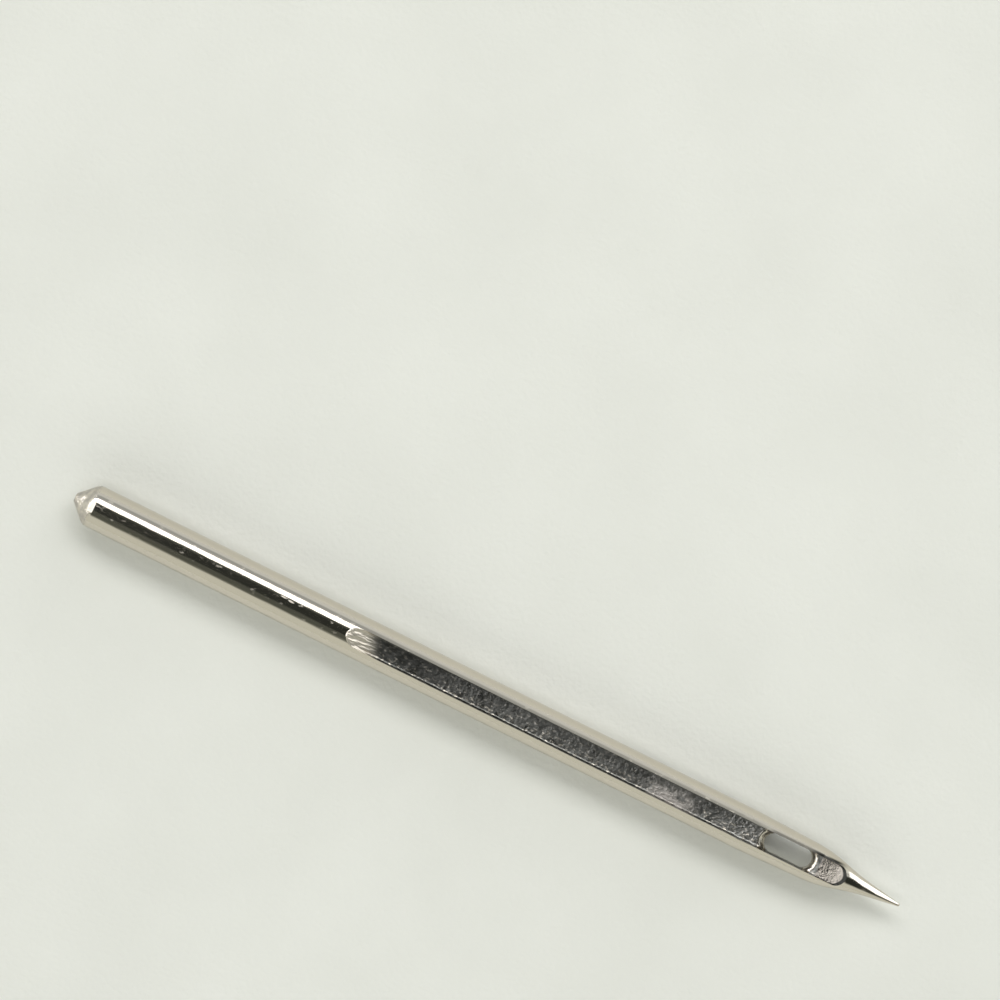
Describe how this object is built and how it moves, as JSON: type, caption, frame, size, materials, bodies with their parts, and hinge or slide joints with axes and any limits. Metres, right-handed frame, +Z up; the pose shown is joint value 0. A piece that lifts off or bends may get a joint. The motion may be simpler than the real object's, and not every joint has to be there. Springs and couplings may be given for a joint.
{
  "type": "sewing machine needle",
  "caption": "Heavy round-shank sewing machine needle with a chamfered butt, long thread groove, scarf, long rounded eye and slim point; carries thread through thick material.",
  "frame": {"origin": "under the middle of the needle's length, on the surface it lies on", "axes": "+X along the needle from the butt to the point, +Z up out of the long groove, +Y to the left of the point"},
  "size_m": [0.0416, 0.002, 0.002],
  "materials": {
    "nickel_plated_steel": "polished nickel plate on the shank and point, brushed in the grooves and the scarf"
  },
  "bodies": {
    "root": {"needle": "nickel_plated_steel"}
  },
  "joints": []
}
